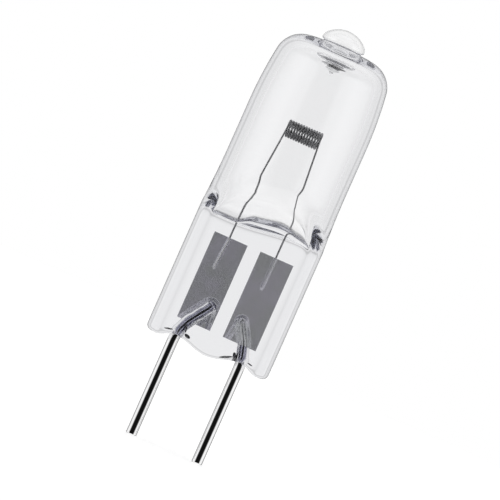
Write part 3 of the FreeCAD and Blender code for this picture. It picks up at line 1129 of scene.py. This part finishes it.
@dataclass
class Foil:
    """One sealing foil, creased over the end of its pin and along its filament leg."""

    side: Side
    finish: bpy.types.Material
    columns: int = 96
    rows: int = 200
    thickness: float = 0.04 * MM
    feathered_share: float = 0.7
    pin_steps: int = 80
    bare_end_steps: int = 6
    ridge_height: float = 0.15 * MM
    ridge_width: float = 0.36 * MM
    ridge_blend: float = 0.15
    groove_depth: float = 0.045 * MM
    leg_height: float = 0.07 * MM
    leg_fade: float = 0.2 * MM
    leg_flank: Span = (0.02 * MM, 0.2 * MM)
    fold_height: float = 0.16 * MM
    fold_shift: float = 0.35 * MM
    fold_start: Span = (0.02, 0.25)
    fold_flank: Span = (0.02 * MM, 0.3 * MM)
    fine: Wrinkle = Wrinkle(size=0.5 * MM, draw=0.6, seed=7.0, height=0.012 * MM)
    broad: Wrinkle = Wrinkle(size=1.7 * MM, draw=0.5, seed=3.0, height=0.02 * MM)
    calm_share: float = 0.25
    calm_above: Span = (1.2 * MM, 3.6 * MM)

    def build(self) -> bpy.types.Object:
        """Model the foil as a fine grid, crease it and give it its thickness.

        Returns:
            The foil, riding on the bulb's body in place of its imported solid.
        """
        node = f"foil_{self.side.label}"
        low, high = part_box(node)
        centre = (low + high) / 2
        size = high - low
        clear_selection()
        bpy.ops.mesh.primitive_grid_add(x_subdivisions=self.columns, y_subdivisions=self.rows, size=1.0,
                                        location=centre, rotation=(math.pi / 2, 0.0, 0.0))
        foil = bpy.context.object
        foil.name = f"sealing_foil_{self.side.label}"
        foil.scale = (size.x, size.z, 1.0)
        bpy.ops.object.transform_apply(location=True, rotation=True, scale=True)
        self.crease(foil)
        wall = foil.modifiers.new("thickness", "SOLIDIFY")
        wall.thickness = self.thickness * self.feathered_share
        wall.offset = 0.0
        bpy.ops.object.modifier_apply(modifier=wall.name)
        bpy.ops.object.shade_smooth()
        foil.data.materials.append(self.finish)
        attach(foil, BODY)
        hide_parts(node)
        LOG.info("%s: %d faces", foil.name, len(foil.data.polygons))
        return foil

    def crease(self, foil: bpy.types.Object) -> None:
        """Push the foil's relief out of its plane, away from the pin and the leg that it is welded to.

        Args:
            foil: The flat grid.
        """
        places = read_points(foil)
        away = self.side.value * self.fold(places) + self.leg_ridge(places)
        places[:, 1] -= self.pin_ridge(places) + away + self.wrinkles(places)
        write_points(foil, places)

    def pin_ridge(self, places: np.ndarray) -> np.ndarray:
        """Height of the ridges that stand either side of the pin where the foil is pressed on it.

        Args:
            places: The foil's vertices, one row each.

        Returns:
            The height at each vertex. Over the pin itself the right foil sinks and the left one rises.
        """
        pin_line = CHANNELS[self.side].centre_line(self.pin_steps)[:-self.bare_end_steps]
        line = np.array([[place.x, place.z] for place, _ in pin_line])
        flat = places[:, [0, 2]]
        reach = np.min(np.linalg.norm(flat[:, None, :] - line[None, :, :], axis=2), axis=1)
        crest = RIDGE_AWAY[self.side]
        outside = np.clip(1.0 - (reach - crest) / self.ridge_width, 0.0, None)
        inside = (reach / crest) ** 2
        ridge = rounded_min(outside, inside, self.ridge_blend)
        groove = self.side.value * self.groove_depth * (1.0 - smooth_step(reach, 0.0, crest / 2))
        return self.ridge_height * ridge - groove

    def leg_ridge(self, places: np.ndarray) -> np.ndarray:
        """Height of the ridge along the filament leg.

        Args:
            places: The foil's vertices, one row each.

        Returns:
            The height at each vertex.
        """
        weld = LEG_WELDS[self.side]
        leg_x = weld.top_x + weld.slant * (weld.high - places[:, 2])
        reach = np.abs(places[:, 0] - leg_x)
        along = smooth_step(places[:, 2], weld.low - self.leg_fade, weld.low + self.leg_fade)
        return self.leg_height * along * (1.0 - smooth_step(reach, *self.leg_flank))

    def fold(self, places: np.ndarray) -> np.ndarray:
        """Height of the fold that runs from the pin's end straight down to the foil's foot.

        Args:
            places: The foil's vertices, one row each.

        Returns:
            The height at each vertex.
        """
        end, _ = CHANNELS[self.side].centre_line(self.pin_steps)[-1]
        low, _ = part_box(f"foil_{self.side.label}")
        down = np.clip((end.z - places[:, 2]) / (end.z - low.z), 0.0, 1.0)
        line_x = end.x - self.side.value * self.fold_shift * down
        reach = np.abs(places[:, 0] - line_x)
        below = smooth_step(down, *self.fold_start)
        return self.fold_height * below * (1.0 - smooth_step(reach, *self.fold_flank))

    def wrinkles(self, places: np.ndarray) -> np.ndarray:
        """Fine and broad wrinkles, the fine ones strongest round the pin's end.

        Args:
            places: The foil's vertices, one row each.

        Returns:
            Their height at each vertex.
        """
        low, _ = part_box(f"foil_{self.side.label}")
        fade_low, fade_high = self.calm_above
        near_pin = 1.0 - smooth_step(places[:, 2], low.z + fade_low, low.z + fade_high)
        fine = self.fine.over(places, self.side) * (self.calm_share + near_pin)
        return fine + self.broad.over(places, self.side)


@dataclass
class Metalwork:
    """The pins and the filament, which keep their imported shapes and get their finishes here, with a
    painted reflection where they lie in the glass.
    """

    # The pins' buried colour is a painted dark reflection: a dark blue grey where they lie in the glass.
    pin: DrawnWireFinish = DrawnWireFinish(
        name="molybdenum_pin", colour=(0.92, 0.92, 0.925), tarnish=(0.8, 0.79, 0.78), roughness=0.07,
        line_size=0.05 * MM, buried=(10.1 * MM, 14.0 * MM), buried_painted_reflection=(0.34, 0.34, 0.42),
        buried_dullness=0.0)
    # The filament's buried colour is a painted highlight: near white and barely metallic, so the legs show
    # as pale streaks in the glass.
    wire: DrawnWireFinish = DrawnWireFinish(
        name="tungsten_wire", colour=(0.3, 0.3, 0.31), tarnish=(0.2, 0.2, 0.21), roughness=0.32,
        line_size=0.02 * MM, buried=(16.0 * MM, FOIL_TOP), buried_painted_reflection=(0.95, 0.95, 0.95),
        buried_dullness=0.85)

    def dress(self) -> None:
        """Give each packed metal node its finish."""
        pin, wire = self.pin.build(), self.wire.build()
        finishes = {"pin_left": pin, "pin_right": pin, "filament": wire}
        for node, finish in finishes.items():
            for material_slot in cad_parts[node].material_slots:
                material_slot.material = finish
            LOG.info("%s: %s", node, finish.name)


@dataclass(frozen=True)
class Surroundings:
    """The studio's light from all round, white but for the dark side that the camera stands on.

    Light that is mirrored, that has come through one wall of glass and that has come through more is
    told apart, so that the glass is clear where it is thin and lined with grey where it bends light most.
    Each run of stops pairs a place with a grey level. On a run round the bulb the place is 0 behind the
    camera and 1 behind the bulb. On a run upwards it is 0 straight down and 1 straight up, and on the
    run sideways it is 0 ahead and 1 fully to the side.
    """

    mirrored_round: Stops = ((0.0, 0.006), (0.12, 0.012), (0.18, 0.4), (0.24, 1.0), (0.62, 1.0),
                             (0.74, 0.42), (0.84, 0.42), (0.95, 0.4), (1.0, 0.05))
    open_upward: Stops = ((0.0, 1.0), (0.12, 1.0), (0.23, 0.0), (0.7, 0.0), (0.85, 1.0))
    shallow_round: Stops = ((0.0, 0.35), (0.25, 0.9), (0.7, 0.85), (0.935, 0.92), (0.948, 0.7),
                            (0.966, 0.7), (0.98, 0.94), (1.0, 1.0))
    shallow_open: Colour = (0.95, 0.95, 0.95)
    deep_round: Stops = ((0.0, 0.006), (0.3, 0.015), (0.42, 0.1), (0.6, 0.1), (0.75, 0.35), (0.88, 0.85),
                         (0.948, 0.85), (0.98, 0.94), (1.0, 1.0))
    deep_sideways: Stops = ((0.45, 0.0), (0.62, 1.0))
    deep_beside: Colour = (0.92, 0.92, 0.92)
    deep_upward: Stops = ((0.0, 0.3), (0.08, 0.0), (0.78, 0.0), (0.9, 1.0))
    shallow_walls: float = 2.5

    def build(self) -> None:
        """Make the world and give it to the scene."""
        world = bpy.data.worlds.new("studio")
        bpy.context.scene.world = world
        nodes = ShaderTree(world)
        path = nodes.add("ShaderNodeLightPath").outputs
        way = nodes.add("ShaderNodeTexCoord").outputs["Generated"]
        split = nodes.add("ShaderNodeSeparateXYZ", {0: way}).outputs
        turn = nodes.math("MULTIPLY_ADD", split["Y"], 0.5, 0.5)
        lift = nodes.math("MULTIPLY_ADD", split["Z"], 0.5, 0.5)
        sideways = nodes.ramp(nodes.math("ABSOLUTE", split["X"]), self.deep_sideways)
        upward = nodes.ramp(lift, self.open_upward)
        mirrored = nodes.mix(upward, nodes.ramp(turn, self.mirrored_round), WHITE)
        shallow = nodes.mix(upward, nodes.ramp(turn, self.shallow_round), self.shallow_open)
        beside = nodes.mix(sideways, nodes.ramp(turn, self.deep_round), self.deep_beside)
        deep = nodes.mix(nodes.ramp(lift, self.deep_upward), beside, WHITE)
        many_walls = nodes.math("GREATER_THAN", path["Transmission Depth"], self.shallow_walls)
        through = nodes.mix(many_walls, shallow, deep)
        colour = nodes.mix(path["Is Transmission Ray"], mirrored, through)
        colour = nodes.mix(path["Is Camera Ray"], colour, WHITE)
        light = nodes.add("ShaderNodeBackground", {"Color": colour, "Strength": 1.0})
        nodes.add("ShaderNodeOutputWorld", {"Surface": light.outputs[0]})


@dataclass
class Studio:
    """Camera, floor and surroundings."""

    centre: Vector = field(default_factory=lambda: Vector((-0.169 * MM, 0.0, 19.18 * MM)))
    picture_width: float = 44.25 * MM
    lens: float = 400.0
    sensor: float = 36.0
    roll: float = math.radians(24.0)
    floor_radius: float = 0.6
    floor_colour: Colour = (0.86, 0.86, 0.86)
    floor_lift: float = 0.36
    clip: Span = (0.01, 20.0)
    bounces: int = 32
    surroundings: Surroundings = Surroundings()

    def add_camera(self) -> None:
        """Set the camera level with the bulb's middle, rolled so that the bulb leans as pictured."""
        data = bpy.data.cameras.new("camera")
        data.lens = self.lens
        data.sensor_width = self.sensor
        data.clip_start, data.clip_end = self.clip
        camera = bpy.data.objects.new("camera", data)
        bpy.context.scene.collection.objects.link(camera)
        distance = self.picture_width * self.lens / self.sensor
        right = Vector((math.cos(self.roll), 0.0, math.sin(self.roll)))
        up = Vector((-math.sin(self.roll), 0.0, math.cos(self.roll)))
        back = Vector((0.0, -1.0, 0.0))
        turned = Matrix((right, up, back)).transposed().to_4x4()
        camera.matrix_world = Matrix.Translation(self.centre + back * distance) @ turned
        bpy.context.scene.camera = camera

    def add_floor(self) -> None:
        """Lay the pale floor that the pins' tips stand on."""
        clear_selection()
        bpy.ops.mesh.primitive_circle_add(vertices=96, radius=self.floor_radius, fill_type="NGON")
        floor = bpy.context.object
        floor.name = "studio_floor"
        material = bpy.data.materials.new("floor")
        nodes = ShaderTree(material)
        path = nodes.add("ShaderNodeLightPath").outputs
        strength = nodes.math("MULTIPLY", path["Is Camera Ray"], self.floor_lift)
        paint = nodes.add("ShaderNodeBsdfDiffuse", {"Color": (*self.floor_colour, 1.0)})
        glow = nodes.add("ShaderNodeEmission", {"Color": (*WHITE, 1.0), "Strength": strength})
        both = nodes.add("ShaderNodeAddShader", {0: paint.outputs[0], 1: glow.outputs[0]})
        clear = nodes.math("MAXIMUM", path["Is Glossy Ray"], path["Is Transmission Ray"])
        open_air = nodes.add("ShaderNodeBsdfTransparent")
        seen = nodes.add("ShaderNodeMixShader", {0: clear, 1: both.outputs[0], 2: open_air.outputs[0]})
        nodes.add("ShaderNodeOutputMaterial", {"Surface": seen.outputs[0]})
        floor.data.materials.append(material)

    def allow_bounces(self) -> None:
        """Let light turn often enough inside the thick glass to find its way out."""
        light_paths = bpy.context.scene.cycles
        for kind in ("max", "glossy", "transmission"):
            setattr(light_paths, f"{kind}_bounces", self.bounces)

    def build(self) -> None:
        """Set up everything round the bulb."""
        self.add_camera()
        self.add_floor()
        self.surroundings.build()
        self.allow_bounces()
        bpy.context.scene.view_settings.view_transform = "Standard"
        LOG.info("studio: ready")


def main() -> None:
    """Build the bulb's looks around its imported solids."""
    logging.basicConfig(level=logging.INFO, format="%(message)s")
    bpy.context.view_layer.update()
    Studio().build()
    Envelope().build()
    foil_finish = FoilFinish().build()
    for side in Side:
        Foil(side, foil_finish).build()
    Metalwork().dress()


if __name__ == "__main__":
    main()
